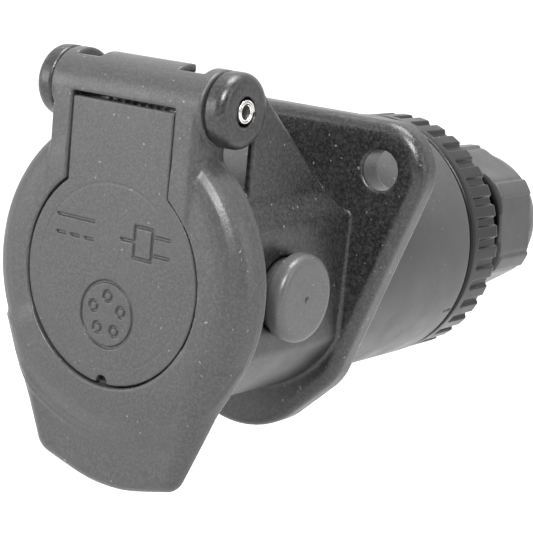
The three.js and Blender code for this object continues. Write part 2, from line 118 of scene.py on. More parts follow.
def polygon(u, v, corners):
    """Signed distance to a closed outline, given anticlockwise or clockwise."""
    nearest = None
    crossings = None
    for (u0, v0), (u1, v1) in zip(corners, np.roll(corners, -1, axis=0)):
        du, dv = u1 - u0, v1 - v0
        along = np.clip(((u - u0) * du + (v - v0) * dv) / (du * du + dv * dv), 0, 1)
        gap = (u - u0 - along * du) ** 2 + (v - v0 - along * dv) ** 2
        nearest = gap if nearest is None else np.minimum(nearest, gap)
        if dv == 0:
            continue
        passes = ((v >= v0) != (v >= v1)) & (u < u0 + du * (v - v0) / dv)
        crossings = passes if crossings is None else crossings ^ passes
    return np.where(crossings, -1, 1) * np.sqrt(nearest)


# ---------------------------------------------------------------- meshes

def make_object(name, points, faces):
    """A smooth-shaded object from points in millimetres and faces of three or four corners."""
    counts = np.array([len(face) for face in faces])
    loops = np.concatenate(faces)
    mesh = bpy.data.meshes.new(name)
    mesh.vertices.add(len(points))
    mesh.vertices.foreach_set("co", (np.asarray(points, np.float32) * MM).ravel())
    mesh.loops.add(len(loops))
    mesh.loops.foreach_set("vertex_index", loops.astype(np.int32))
    mesh.polygons.add(len(counts))
    mesh.polygons.foreach_set("loop_start", (np.cumsum(counts) - counts).astype(np.int32))
    mesh.update(calc_edges=True)
    mesh.validate()
    mesh.polygons.foreach_set("use_smooth", np.full(len(counts), True))
    piece = bpy.data.objects.new(name, mesh)
    bpy.context.scene.collection.objects.link(piece)
    return piece


CUBE_CORNERS = np.array([(i, j, k) for i in (0, 1) for j in (0, 1) for k in (0, 1)])
CUBE_EDGES = [
    (a, b) for a in range(8) for b in range(a + 1, 8)
    if np.abs(CUBE_CORNERS[a] - CUBE_CORNERS[b]).sum() == 1
]


def gradient(field, points, reach):
    """The slope of a field at each point, by central differences."""
    axes = []
    for axis in range(3):
        ahead, behind = points.copy(), points.copy()
        ahead[:, axis] += reach
        behind[:, axis] -= reach
        axes.append(field(*ahead.T) - field(*behind.T))
    return np.stack(axes, axis=1) / (2 * reach)


def skin(name, field, lowest, highest, step):
    """The surface of a field as a quad mesh: one vertex in each cell that the surface crosses."""
    pad = 1.5 * step
    axes = [np.arange(a - pad, b + pad + step, step) for a, b in zip(lowest, highest)]
    x, y, z = axes[0][:, None, None], axes[1][None, :, None], axes[2][None, None, :]
    value = np.broadcast_to(field(x, y, z), [len(a) for a in axes]).astype(np.float32)
    inside = value < 0
    cells = tuple(n - 1 for n in value.shape)
    corners = [inside[i:i + cells[0], j:j + cells[1], k:k + cells[2]] for i, j, k in CUBE_CORNERS]
    crossed = np.zeros(cells, bool)
    for corner in corners[1:]:
        crossed |= corner != corners[0]
    index = np.argwhere(crossed)
    total = np.zeros((len(index), 3))
    count = np.zeros(len(index))
    for a, b in CUBE_EDGES:
        va = value[tuple((index + CUBE_CORNERS[a]).T)]
        vb = value[tuple((index + CUBE_CORNERS[b]).T)]
        crossing = (va < 0) != (vb < 0)
        share = np.where(crossing, va / np.where(crossing, va - vb, 1), 0)[:, None]
        total += crossing[:, None] * (CUBE_CORNERS[a] + share * (CUBE_CORNERS[b] - CUBE_CORNERS[a]))
        count += crossing
    start = np.array([a[0] for a in axes])
    points = start + step * (index + total / count[:, None])
    # two short steps down the slope bring each vertex onto the surface
    for _ in range(2):
        slope = gradient(field, points, 0.1 * step)
        steep = np.maximum((slope ** 2).sum(axis=1), 0.25)
        move = -(field(*points.T) / steep)[:, None] * slope
        points += np.clip(move, -0.4 * step, 0.4 * step)
    number = np.full(cells, -1, np.int32)
    number[crossed] = np.arange(len(index))
    quads = []
    for axis in range(3):
        u, v = (axis + 1) % 3, (axis + 2) % 3
        here = [slice(1, -1)] * 3
        there = [slice(1, -1)] * 3
        here[axis], there[axis] = slice(0, -1), slice(1, None)
        first, second = inside[tuple(here)], inside[tuple(there)]
        for outward, change in ((True, first & ~second), (False, ~first & second)):
            at = np.argwhere(change)
            at[:, u] += 1
            at[:, v] += 1
            ring = []
            for du, dv in ((0, 0), (1, 0), (1, 1), (0, 1)):
                cell = at.copy()
                cell[:, u] -= du
                cell[:, v] -= dv
                ring.append(number[tuple(cell.T)])
            quad = np.stack(ring, axis=1)
            quads.append(quad if outward else quad[:, ::-1])
    return make_object(name, points, np.concatenate(quads))


def rounded(profile, steps=5):
    """A closed outline from (u, v, radius) corners, each corner turned into an arc."""
    points = []
    corners = [np.array(c[:2], float) for c in profile]
    for i, corner in enumerate(corners):
        radius = profile[i][2] if len(profile[i]) > 2 else 0
        before = corners[i - 1] - corner
        after = corners[(i + 1) % len(corners)] - corner
        before_length, after_length = np.linalg.norm(before), np.linalg.norm(after)
        cosine = np.dot(before, after) / (before_length * after_length)
        half = math.acos(max(-1, min(1, cosine))) / 2
        if radius <= 0 or half > math.radians(89):
            points.append(corner)
            continue
        back = min(radius / math.tan(half), 0.49 * before_length, 0.49 * after_length)
        start = corner + before / before_length * back
        end = corner + after / after_length * back
        for t in np.linspace(0, 1, steps):
            points.append((1 - t) ** 2 * start + 2 * t * (1 - t) * corner + t ** 2 * end)
    return np.array(points)


def turned(name, profile, around, centre=(0, 0, 0), axis="Y", shape=None):
    """A closed (radius, height) outline turned about an axis; shape may change each point's radius."""
    outline = np.array(profile, float)
    following = np.roll(outline, -1, axis=0)
    if np.sum(outline[:, 0] * following[:, 1] - following[:, 0] * outline[:, 1]) < 0:
        outline = outline[::-1]
    angles = np.linspace(0, 2 * math.pi, around, endpoint=False)[:, None]
    radius = np.broadcast_to(outline[:, 0], (around, len(outline)))
    height = np.broadcast_to(outline[:, 1], radius.shape)
    if shape is not None:
        radius = shape(angles, radius, height)
    side, up = radius * np.cos(angles), radius * np.sin(angles)
    spin = {"Y": (side, height, up), "X": (height, up, side)}[axis]
    points = np.stack(spin, axis=-1).reshape(-1, 3) + np.array(centre)
    n = len(outline)
    i, j = np.meshgrid(np.arange(around), np.arange(n), indexing="ij")
    corner = [((i + a) % around) * n + (j + b) % n for a, b in ((0, 0), (0, 1), (1, 1), (1, 0))]
    piece = make_object(name, points, np.stack(corner, axis=-1).reshape(-1, 4))
    if (outline[:, 0] == 0).any():
        weld(piece)
    weighted = piece.modifiers.new("flat faces stay flat", "WEIGHTED_NORMAL")
    weighted.keep_sharp = True
    return piece


def weld(piece):
    """Merges the points that meet on the axis."""
    mesh = bmesh.new()
    mesh.from_mesh(piece.data)
    bmesh.ops.remove_doubles(mesh, verts=mesh.verts, dist=1e-7)
    bmesh.ops.dissolve_degenerate(mesh, edges=mesh.edges, dist=1e-8)
    mesh.to_mesh(piece.data)
    mesh.free()
    piece.data.polygons.foreach_set("use_smooth", np.full(len(piece.data.polygons), True))


# ---------------------------------------------------------------- lid

LID_RIM_R = 32.5
LID_SKIRT_R, LID_SKIRT_Y = 31.75, -41.8
SKIRT_STEP_Y = FACE_Y + 6.35
LID_BORE_R, LID_BORE_Y = 29.2, FACE_Y + 5.63
LID_RECESS_R, LID_RECESS_Y = 22.0, FACE_Y + 3.43
LID_BORE_TOP = 30.5
NECK_X, NECK_TOP = 18.5, HINGE_Z + 0.9
LID_BARREL_X, EAR_GAP = 19.0, 0.6
CHAMBER_R, CHAMBER_X = 5.8, 16.0
CHAMBER_FRONT_Y, CHAMBER_LOW = FACE_Y + 3.63, 28.1
TONGUE_X, TONGUE_END_Y = 10.0, HINGE_Y + 1.4
NOTCH_Y = HINGE_Y - 3.6
INLAY_R, INLAY_X, INLAY_TOP = 21.55, 12.7, 34.05
INLAY_FACE_Y, INLAY_THICK = FACE_Y + 0.15, 1.4
INLAY_GAP, INLAY_TOP_GAP, INLAY_REAR_GAP = 0.42, 0.95, 0.3
LIP_TUCK_X, LIP_TUCK_Z = 21, -8
LIP_ROOT_X, LIP_ROOT_Z = 29.2, -13.5
LIP_CORNER_X, LIP_CORNER_Z, LIP_CORNER_R = 18.1, -40.1, 5.2
LIP_PEAK_Z, LIP_PEAK_R = -44.9, 60
LIP_LEAN = 0.98


def keyhole(x, z, grow, top_grow):
    """The inlay's outline: a circle with a stem up to the hinge."""
    circle = np.hypot(x, z) - INLAY_R - grow
    stem = both(np.abs(x) - INLAY_X - grow, between(z, 0, INLAY_TOP + top_grow), 0.5)
    return union(circle, stem)


def lip_outline():
    """The lip from its root on the right, down round both corners, to its root on the left."""
    right = [(LIP_TUCK_X, LIP_TUCK_Z), (LIP_ROOT_X, LIP_ROOT_Z), (LIP_CORNER_X, LIP_CORNER_Z, LIP_CORNER_R)]
    left = [(-x, *rest) for x, *rest in reversed(right)]
    return rounded([*right, (0, LIP_PEAK_Z, LIP_PEAK_R), *left], steps=9)


LIP = lip_outline()


def finger_lip(x, y, z):
    """The lip bends back from the face as it goes down, and gets thinner and sharper."""
    below = -z
    drop = np.interp(below, (10, 21, 25, 30, 36, 43), (0.2, 0.25, 0.7, 1.45, 2.0, 2.4))
    rear_depth = np.interp(below, (10, 28, 43), (6.3, 5.9, 5.0))
    edge = np.interp(below, (15, 40), (5.4, 2.4))
    front = both(polygon(x, z, LIP), (FACE_Y + drop - y) * LIP_LEAN, edge)
    return both(front, y - FACE_Y - rear_depth, 0.7)


# The crown's front falls away from the flat face in ever steeper steps, as (radius, drop) pairs.
CROWN = np.array([
    (0, 0), (24.5, 0), (26.5, 0.08), (28.3, 0.4), (29.7, 1.0),
    (30.8, 1.85), (31.6, 3.0), (32.1, 4.4), (LID_RIM_R, 6.2),
])


def crown_front(r):
    """The depth of the crown's front surface behind the face, with its slope."""
    radius, depth = CROWN.T
    drop = np.interp(r, radius, depth)
    slope = np.interp(r, (radius[1:] + radius[:-1]) / 2, np.diff(depth) / np.diff(radius))
    return drop, slope


def crown(r, y):
    """The domed disc of the lid with its skirt."""
    drop, slope = crown_front(np.minimum(r, LID_RIM_R - 0.01))
    front = (FACE_Y + drop - y) / np.sqrt(1 + slope ** 2)
    skirt = np.where(y > SKIRT_STEP_Y, r - LID_SKIRT_R, r - LID_RIM_R)
    return np.maximum(front, skirt)


def lid_front(x, y, z):
    """Crown, lip and neck, with the hinge barrel across the top."""
    side = np.abs(x)
    neck = both(both(side - NECK_X, between(z, 0, NECK_TOP)), FACE_Y - y, 1.3)
    front = union(neck, crown(np.hypot(x, z), y), 0.8)
    front = union(front, finger_lip(x, y, z), 2.0)
    front = both(front, y - LID_SKIRT_Y, 0.4)
    stretch = np.where(y < HINGE_Y, BARREL_R / (HINGE_Y - FACE_Y), 1.0)
    barrel = np.hypot((y - HINGE_Y) * stretch, z - HINGE_Z) - BARREL_R
    return union(front, both(barrel, side - LID_BARREL_X, 0.5))


def spring_room(side, y, z):
    """The hollow for the spring, open behind except for a tongue with a notch on each side."""
    chamber = both(rod(y, z, HINGE_Y, HINGE_Z, CHAMBER_R), side - CHAMBER_X)
    behind = both(both(CHAMBER_FRONT_Y - y, side - CHAMBER_X), between(z, CHAMBER_LOW, HINGE_Z))
    past_tongue = both(TONGUE_END_Y - y, CHAMBER_LOW - z)
    notch = both(both(NOTCH_Y - y, TONGUE_X - side), HINGE_Z - z)
    opened = both(union(past_tongue, notch), side - CHAMBER_X)
    return union(union(chamber, behind), opened)


def lid_field(x, y, z):
    """The lid, hollowed out behind, with room for the ears, the pin and the inlay."""
    r, side = np.hypot(x, z), np.abs(x)
    solid = cut(lid_front(x, y, z), spring_room(side, y, z), 0.35)
    underside = union(both(r - LID_RECESS_R, LID_RECESS_Y - y), both(r - LID_BORE_R, LID_BORE_Y - y))
    solid = cut(solid, both(underside, z - LID_BORE_TOP), 0.3)
    ear_room = both(rod(y, z, HINGE_Y, HINGE_Z, BARREL_R + EAR_GAP), LID_BARREL_X + 0.1 - side)
    solid = cut(solid, ear_room, 0.4)
    solid = cut(solid, rod(y, z, HINGE_Y, HINGE_Z, PIN_HOLE_R))
    pocket_floor_y = INLAY_FACE_Y + INLAY_THICK + INLAY_REAR_GAP
    pocket = both(keyhole(x, z, INLAY_GAP, INLAY_TOP_GAP), y - pocket_floor_y)
    return cut(solid, pocket, 0.12)


def line_distance(x, z, x0, z0, x1, z1):
    """Distance to a straight stroke."""
    dx, dz = x1 - x0, z1 - z0
    along = np.clip(((x - x0) * dx + (z - z0) * dz) / (dx * dx + dz * dz), 0, 1)
    return np.hypot(x - x0 - along * dx, z - z0 - along * dz)


def direct_current_sign():
    """A long line over three dashes, as (x0, z0, x1, z1) strokes."""
    left, right, line_z, dash_z = -14.5, -5.0, 10.2, 6.6
    dash, dashes = 2.1, 3
    pitch = (right - left - dash) / (dashes - 1)
    return [(left, line_z, right, line_z)] + [
        (left + pitch * i, dash_z, left + pitch * i + dash, dash_z) for i in range(dashes)
    ]


def plug_sign():
    """A plug's body with its cord on the left and two blades on the right."""
    left, right, low_z, high_z = 5.6, 10.0, 5.0, 11.2
    blade, cord, inset = 4.2, 3.4, 1.3
    middle = (low_z + high_z) / 2
    box = [(left, high_z, left, low_z), (right, high_z, right, low_z)]
    box += [(left, z, right, z) for z in (low_z, high_z)]
    blades = [(right, z, right + blade, z) for z in (high_z - inset, low_z + inset)]
    return [*box, *blades, (left - cord, middle, left, middle)]


def symbol_distance(x, z):
    """Plain signs: direct current on the left, a plug on the right, and the five-contact face below."""
    face_z, face_r, ring_r, dot_r = -7.5, 6.6, 3.7, 1.0
    marks = [line_distance(x, z, *stroke) for stroke in direct_current_sign() + plug_sign()]
    marks.append(np.abs(np.hypot(x, z - face_z) - face_r))
    for number in range(5):
        angle = math.radians(90 + 72 * number)
        dot = rod(x, z, ring_r * math.cos(angle), face_z + ring_r * math.sin(angle), dot_r)
        marks.append(np.abs(dot))
    return np.minimum.reduce(marks)


def inlay_field(x, y, z):
    """The keyhole plate, with a pry notch, a fine moulded circle and the engraved signs."""
    engraved_half, engraved_depth = 0.3, 0.45
    circle_r, circle_half, circle_depth = 18.5, 0.12, 0.06
    notch_r, notch_z = 1.4, 0.3 - INLAY_R
    plate = both(keyhole(x, z, 0, 0), between(y, INLAY_FACE_Y, INLAY_FACE_Y + INLAY_THICK), 0.18)
    plate = cut(plate, rod(x, z, 0, notch_z, notch_r), 0.1)
    groove = np.maximum(symbol_distance(x, z) - engraved_half, y - INLAY_FACE_Y - engraved_depth)
    circle = np.maximum(np.abs(np.hypot(x, z) - circle_r) - circle_half, y - INLAY_FACE_Y - circle_depth)
    return cut(cut(plate, groove, 0.04), circle)


# ---------------------------------------------------------------- front housing

FLANGE_THICK = 6.0
LOBE_Z, LOBE_R = -16.7, 21.6
CHEEK_X, CHEEK_Z, CHEEK_R = 12.65, -15.1, 14
HOLE_X, HOLE_Z, HOLE_R, HOLE_CORNER_R = 31.1, 23.5, 4.25, 10
BODY_R, BODY_FLAT_X = 28.4, 25.3
MOUTH_Y = -42.8
SCREW_ROOM_R = 24.6
CAVITY_R, CAVITY_END_Y, BACK_R = 22.5, -7.7, 20
SPIGOT_R, SPIGOT_END_Y = 23.6, 10
SLEEVE_SEAT_R, SLEEVE_SEAT_Y = 29.2, -0.8
STUD_SEAT_R, STUD_SEAT_X = 7.75, 24.9
WEB_INNER, WEB_OUTER, WEB_FRONT_Y = 20.6, EAR_X, -37.6
WEB_SLOPE = 0.86
WEB_LOW_Z, WEB_BACK_Y = 12, -3
WEB_STEP, WEB_STEP_Z, WEB_STEP_LENGTH = 1.6, 12.9, 2.2
EAR_INNER_X, LID_ROOM_R = 19.3, 8.0


def flange_outline():
    """A belt round the two hole corners, the lower cheeks and the bottom lobe."""
    circles = [
        (0, LOBE_Z, LOBE_R), (CHEEK_X, CHEEK_Z, CHEEK_R), (HOLE_X, HOLE_Z, HOLE_CORNER_R),
        (-HOLE_X, HOLE_Z, HOLE_CORNER_R), (-CHEEK_X, CHEEK_Z, CHEEK_R),
    ]
    points = []
    for angle in np.radians(np.arange(-90, 270, 5)):
        way = np.array((math.cos(angle), math.sin(angle)))
        reach = [np.dot((cx, cz), way) + radius for cx, cz, radius in circles]
        cx, cz, radius = circles[int(np.argmax(reach))]
        points.append((cx + radius * way[0], cz + radius * way[1]))
    return points


FLANGE_OUTLINE = flange_outline()


def web_slope(y, z):
    """Distance above the sloping top of the webs, which runs down from the hinge."""
    length = math.hypot(WEB_SLOPE, 1)
    return ((z - HINGE_Z) + WEB_SLOPE * (y - HINGE_Y)) / length - BARREL_R


def hinge_webs(side, y, z):
    """The two walls from the flange out to the ears; each steps in at its side near the bottom."""
    web = both(web_slope(y, z), np.maximum(WEB_LOW_Z - z, y - WEB_BACK_Y))
    web_side = WEB_OUTER - WEB_STEP * np.clip((z - WEB_STEP_Z) / WEB_STEP_LENGTH, 0, 1)
    web = both(web, side - web_side, 0.6)
    return both(both(web, WEB_INNER - side, 0.4), WEB_FRONT_Y - y, 0.6)


def housing_solid(x, y, z, r, side):
    """Barrel, flange, webs, ears and the spigot that carries the sleeve."""
    barrel = both(r - BODY_R, between(y, MOUTH_Y, -1), 0.5)
    barrel = both(barrel, side - BODY_FLAT_X, 0.35)
    # room for the heads of the fixing screws, behind the slope of the webs
    barrel = both(barrel, np.minimum(r - SCREW_ROOM_R, web_slope(y, z)), 0.4)
    flange = both(both(polygon(x, z, FLANGE_OUTLINE), -FLANGE_THICK - y, 2.7), y, 0.35)
    body = union(barrel, flange, 0.8)
    body = union(body, hinge_webs(side, y, z), 0.7)
    ear = both(rod(y, z, HINGE_Y, HINGE_Z, BARREL_R), side - EAR_X, 2.0)
    body = union(body, both(ear, EAR_INNER_X - side, 0.45))
    spigot = both(both(r - SPIGOT_R, between(y, -3, SPIGOT_END_Y), 0.4), BACK_R - r)
    return union(body, spigot, 0.2)


def housing_field(x, y, z):
    """The front housing with its cavity, holes and seats cut out."""
    r, side = np.hypot(x, z), np.abs(x)
    cavity = union(both(r - CAVITY_R, y - CAVITY_END_Y), r - BACK_R)
    lid_room = both(rod(y, z, HINGE_Y, HINGE_Z, LID_ROOM_R), side - EAR_INNER_X)
    screw_hole = np.maximum(rod(side, z, HOLE_X, HOLE_Z, HOLE_R), 20 - side)
    sleeve_seat = both(both(r - SLEEVE_SEAT_R, SLEEVE_SEAT_Y - y), SPIGOT_R - r)
    stud_seat = both(rod(y, z, STUD_Y, STUD_Z, STUD_SEAT_R), STUD_SEAT_X - side)
    body = cut(housing_solid(x, y, z, r, side), cavity, 0.6)
    body = cut(body, lid_room, 0.3)
    body = cut(body, rod(y, z, HINGE_Y, HINGE_Z, PIN_HOLE_R), 0.15)
    body = cut(body, screw_hole, 0.25)
    body = cut(body, sleeve_seat)
    return cut(body, stud_seat, 0.15)


# ---------------------------------------------------------------- the other pieces

STUD_NECK_R, STUD_HEAD_R = 7.3, 8.9
STUD_ROOT_X, STUD_HEAD_X = 24.95, 27.6
STUD_DIMPLE_R, STUD_DIMPLE_DEPTH = 0.75, 0.7


def stud(name, sign):
    """A short neck under a domed round head with a small dimple in its middle."""
    face = high("locking_stud_right")[0]
    dimple = face - STUD_DIMPLE_DEPTH
    profile = rounded([
        (0, STUD_ROOT_X), (STUD_NECK_R, STUD_ROOT_X), (STUD_NECK_R, STUD_HEAD_X, 0.5),
        (STUD_HEAD_R, STUD_HEAD_X, 0.7), (STUD_HEAD_R, face, 2.2), (STUD_DIMPLE_R, face, 0.15),
        (STUD_DIMPLE_R - 0.4, dimple), (0, dimple),
    ], steps=8)
    profile[:, 1] *= sign
    return turned(name, profile, 96, (0, STUD_Y, STUD_Z), "X")


PIN_STRIP, PIN_PITCH, PIN_TURNS, PIN_STEPS = 0.36, 0.43, 2.2, 110
PIN_CHAMFER, PIN_INSET = 0.25, 0.16


def coiled_pin(name):
    """A strip rolled up two and a bit times, seen as a spiral at its ends."""
    steps = PIN_STEPS
    angle = np.linspace(0, 2 * math.pi * PIN_TURNS, steps)
    middle = PIN_R - PIN_STRIP / 2 - PIN_PITCH * angle / (2 * math.pi)
    ends = [(EAR_X - PIN_CHAMFER, 0), (EAR_X, PIN_INSET)]
    stations = [(-x, inset) for x, inset in reversed(ends)] + ends
    points = []
    for x, inset in stations:
        for offset in (PIN_STRIP / 2 - inset * 0.6, -PIN_STRIP / 2 + inset * 0.3):
            r = middle + offset
            rolled = [np.full(steps, x), HINGE_Y + r * np.cos(angle), HINGE_Z + r * np.sin(angle)]
            points.append(np.stack(rolled, 1))
    rows = len(stations)
    quads = []
    # the outer and inner faces of the strip, then its two ends
    for i in range(steps - 1):
        for row in range(rows - 1):
            a, b = (2 * row) * steps + i, (2 * row + 2) * steps + i
            quads.append((a, a + 1, b + 1, b))
            a, b = a + steps, b + steps
            quads.append((a, b, b + 1, a + 1))
        last = 2 * (rows - 1) * steps + i
        quads.append((i, i + steps, i + steps + 1, i + 1))
        quads.append((last, last + 1, last + steps + 1, last + steps))
    # the strip's long edges
    for row in range(rows - 1):
        a, b = 2 * row * steps, (2 * row + 2) * steps
        quads.append((a, b, b + steps, a + steps))
        a, b = a + steps - 1, b + steps - 1
        quads.append((a, a + steps, b + steps, b))
    return make_object(name, np.concatenate(points), quads)


def swept(name, path, radius, sides=12):
    """A round wire along a path, closed by a fan of triangles at each end."""
    path = np.array(path, float)
    ahead = np.gradient(path, axis=0)
    ahead /= np.linalg.norm(ahead, axis=1)[:, None]
    side = np.cross(ahead[0], (1.0, 0.2, 0.1))
    rings = []
    for point, forward in zip(path, ahead):
        side = side - forward * np.dot(side, forward)
        side /= np.linalg.norm(side)
        over = np.cross(forward, side)
        turn = np.linspace(0, 2 * math.pi, sides, endpoint=False)[:, None]
        rings.append(point + radius * (np.cos(turn) * side + np.sin(turn) * over))
    points = np.concatenate(rings + [path[:1], path[-1:]])
    n = len(path)
    faces = []
    for i in range(n - 1):
        for j in range(sides):
            k = (j + 1) % sides
            faces.append((i * sides + j, i * sides + k, (i + 1) * sides + k, (i + 1) * sides + j))
    start, end = n * sides, n * sides + 1
    for j in range(sides):
        k = (j + 1) % sides
        faces.append((start, k, j))
        faces.append((end, (n - 1) * sides + j, (n - 1) * sides + k))
    return make_object(name, points, faces)


SPRING_R, SPRING_HALF, SPRING_TURNS = 4.0, 7.6, 7.5
LEG_LOW_Z, LEG_POINTS = 28.4, 8


def spring_path():
    """One leg down behind the tongue, the coil round the pin, and the other leg in the lid."""
    rear, front = HINGE_Y + SPRING_R, HINGE_Y - SPRING_R
    points = [(-SPRING_HALF, rear, z) for z in np.linspace(LEG_LOW_Z, HINGE_Z - 0.8, LEG_POINTS)]
    angle = np.linspace(0, 2 * math.pi * SPRING_TURNS, int(28 * SPRING_TURNS))
    along = np.linspace(-SPRING_HALF, SPRING_HALF, len(angle))
    coil = np.stack([along, HINGE_Y + SPRING_R * np.cos(angle), HINGE_Z + SPRING_R * np.sin(angle)], axis=1)
    points += list(coil)
    for share in np.linspace(0.15, 1, LEG_POINTS):
        points.append((SPRING_HALF, front + 0.8 * share, HINGE_Z - 4.9 * share))
    return points


SLEEVE_END_Y, SLEEVE_BORE_R, SLEEVE_THREAD_R = 40.6, 22.6, 25.0
SLEEVE_SOCKET_R, SLEEVE_SOCKET_Y = 24, 12.6
SLEEVE_STOP_R, SLEEVE_STOP_Y = 21.5, 15.6
SLEEVE_AROUND = 480
MARK_ANGLE, MARK_START_Y, MARK_END_Y, MARK_DEPTH = -26.25, 36.4, 39.4, 0.45


def sleeve(name):
    """The extension sleeve, with a small alignment mark cut in beside the union ring."""
    front, rear = low("extension_sleeve")[1], high("extension_sleeve")[1]
    marked = [(SLEEVE_R, y) for y in np.arange(MARK_START_Y - 0.3, MARK_END_Y + 0.4, 0.3)]
    profile = rounded([
        (SLEEVE_SOCKET_R, front), (SLEEVE_R, front, 0.3), *marked, (SLEEVE_R, SLEEVE_END_Y, 1.1),
        (SLEEVE_THREAD_R + 0.1, SLEEVE_END_Y, 0.2), (SLEEVE_THREAD_R, rear, 0.3), (SLEEVE_BORE_R, rear, 0.3),
        (SLEEVE_BORE_R, SLEEVE_STOP_Y), (SLEEVE_STOP_R, SLEEVE_STOP_Y), (SLEEVE_STOP_R, SLEEVE_SOCKET_Y),
        (SLEEVE_SOCKET_R, SLEEVE_SOCKET_Y),
    ])
    half_width = 0.6 * 2 * math.pi / SLEEVE_AROUND

    def with_mark(angles, radius, height):
        off = np.abs(np.mod(angles - math.radians(MARK_ANGLE) + math.pi, 2 * math.pi) - math.pi)
        here = (off < half_width) & (height > MARK_START_Y) & (height < MARK_END_Y)
        return radius - MARK_DEPTH * (here & (radius > SLEEVE_R - 0.1))

    return turned(name, profile, SLEEVE_AROUND, shape=with_mark)


def smooth(t):
    """A ramp from 0 to 1 with soft ends."""
    return t * t * (3 - 2 * t)


def soft_min(a, b, sharpness):
    """The smaller of two values, blended where they are close."""
    return -np.log(np.exp(-sharpness * a) + np.exp(-sharpness * b)) / sharpness


FLUTES, FLUTE_HALF, FLUTE_DEPTH, FLUTE_START = 36, 1.25, 1.0, 2.7
RING_BORE_R, RING_STOP_R, RING_STOP_THICK = 25.3, 22.4, 1.2


def union_ring(name):
    """The fluted ring, open in front, with a stop at the rear that catches the shell's collar."""
    front, rear, outer_r = low("union_ring")[1], high("union_ring")[1], high("union_ring")[0]
    along = np.linspace(front + 1.6, rear - 0.7, 44)
    quarter = np.linspace(0, math.pi / 2, 6)
    front_edge = [(outer_r - 1 + math.sin(a), front + 1 - math.cos(a)) for a in quarter]
    profile = [
        (RING_BORE_R, front), *front_edge, *[(outer_r, y) for y in along], (outer_r - 0.05, rear - 0.35),
        (outer_r - 0.35, rear), (RING_STOP_R + 0.6, rear), (RING_STOP_R, rear - 0.4),
        (RING_STOP_R, rear - RING_STOP_THICK), (RING_BORE_R, rear - RING_STOP_THICK),
    ]

    def fluted(angles, radius, height):
        pitch = 2 * math.pi / FLUTES
        across = np.abs(np.mod(angles, pitch) - pitch / 2) * outer_r
        wide = smooth(np.clip((FLUTE_HALF - across) / 0.5, 0, 1))
        start = smooth(np.clip((height - front - FLUTE_START) / 0.7, 0, 1))
        return radius - np.maximum(radius - outer_r + FLUTE_DEPTH, 0) * wide * start

    return turned(name, profile, FLUTES * 20, shape=fluted)


NUT_FLAT_R, NUT_RIB_R, NUT_CORNER_R, NUT_TURN = 17.3, 18.35, 19.0, math.radians(5)
NUT_CORNER_END_Y, NUT_RIB_HALF, NUT_RIB_EDGE = 91.7, math.radians(7.2), math.radians(1.2)
NUT_DOME_Y, NUT_NOSE_R, NUT_DOME_RISE = 88, 12.3, 5.3
NUT_MOUTH_R, NUT_SEAT_R, NUT_THREAD_R, NUT_THREAD_END_Y = 10.5, 14, 16, 83


def gland_nut(name):
    """A hexagon with a raised rib along each corner, ending in a dome round the cable's mouth."""
    front, rear = low("gland_nut")[1], high("gland_nut")[1]
    beyond, seat_y = 25, rear - 3.4
    outer = [(beyond, y) for y in np.linspace(front + 0.01, rear - 0.01, 90)]
    profile = [
        (NUT_THREAD_R, front), *outer, (NUT_MOUTH_R + 0.7, rear), (NUT_MOUTH_R + 0.1, rear - 0.5),
        (NUT_MOUTH_R, seat_y), (NUT_SEAT_R, seat_y), (NUT_SEAT_R, NUT_THREAD_END_Y),
        (NUT_THREAD_R, NUT_THREAD_END_Y),
    ]

    def hexagon(angles, radius, height):
        sixth = math.pi / 3
        from_flat = np.mod(angles - NUT_TURN + sixth / 2, sixth) - sixth / 2
        from_corner = np.mod(angles - NUT_TURN, sixth) - sixth / 2
        flats = NUT_FLAT_R / np.cos(from_flat)
        rib = smooth(np.clip((NUT_RIB_HALF - np.abs(from_corner)) / NUT_RIB_EDGE, 0, 1))
        rib_end = smooth(np.clip((NUT_CORNER_END_Y - height) / 0.6, 0, 1))
        ribs = NUT_RIB_R + (NUT_CORNER_R - NUT_RIB_R) * rib * rib_end
        sides = soft_min(flats, ribs, 12)
        share = np.clip((height - NUT_DOME_Y) / (rear - NUT_DOME_Y), 0, 1)
        dome = NUT_NOSE_R + NUT_DOME_RISE * np.sqrt(np.clip(1 - share ** 2, 0, 1))
        dome = np.where(height < NUT_CORNER_END_Y - 0.6, 30, dome + 1.2 * rib * rib_end)
        lead = NUT_CORNER_R + 0.3 - 1.2 * np.clip(1 - (height - front) / 0.8, 0, 1) ** 2
        outside = soft_min(sides, np.minimum(lead, dome), 9)
        return np.where(radius > beyond - 1, outside, radius)

    return turned(name, profile, 360, shape=hexagon)


def rear_shell(name):
    """A front skirt and collar inside the union ring, a taper, and the neck for the gland nut."""
    end = high("rear_shell")[1]
    skirt_r, front = 20, 44
    collar_r, collar_y, collar_end_y = 24.4, 50.3, 52.6
    body_r, body_end_y, cone_r, cone_end_y = 22, 56.2, 14.6, 71
    neck_r, neck_y, seal_r, seal_y = 13.7, 73.5, 11.2, 82
    bore_r, bore_end_y, cable_r, cable_y = 17.8, 56, 9, 72.3
    profile = rounded([
        (bore_r, front), (skirt_r, front, 0.3), (skirt_r, collar_y, 0.3), (collar_r, collar_y, 0.3),
        (collar_r, collar_end_y, 0.3), (body_r, collar_end_y, 0.3), (body_r, body_end_y, 3.5),
        (cone_r, cone_end_y, 3), (neck_r, neck_y, 1), (neck_r, end, 0.5), (seal_r, end, 0.3),
        (seal_r, seal_y), (cable_r, seal_y), (cable_r, cable_y), (bore_r, bore_end_y),
    ], steps=10)
    return turned(name, profile, 192)


def plain_ring(name, node, inner, edge):
    """A ring with a square section that fills its frame node."""
    front, rear, outer = low(node)[1], high(node)[1], high(node)[0]
    profile = rounded([(inner, front, edge), (outer, front, edge), (outer, rear, edge), (inner, rear, edge)])
    return turned(name, profile, 160)


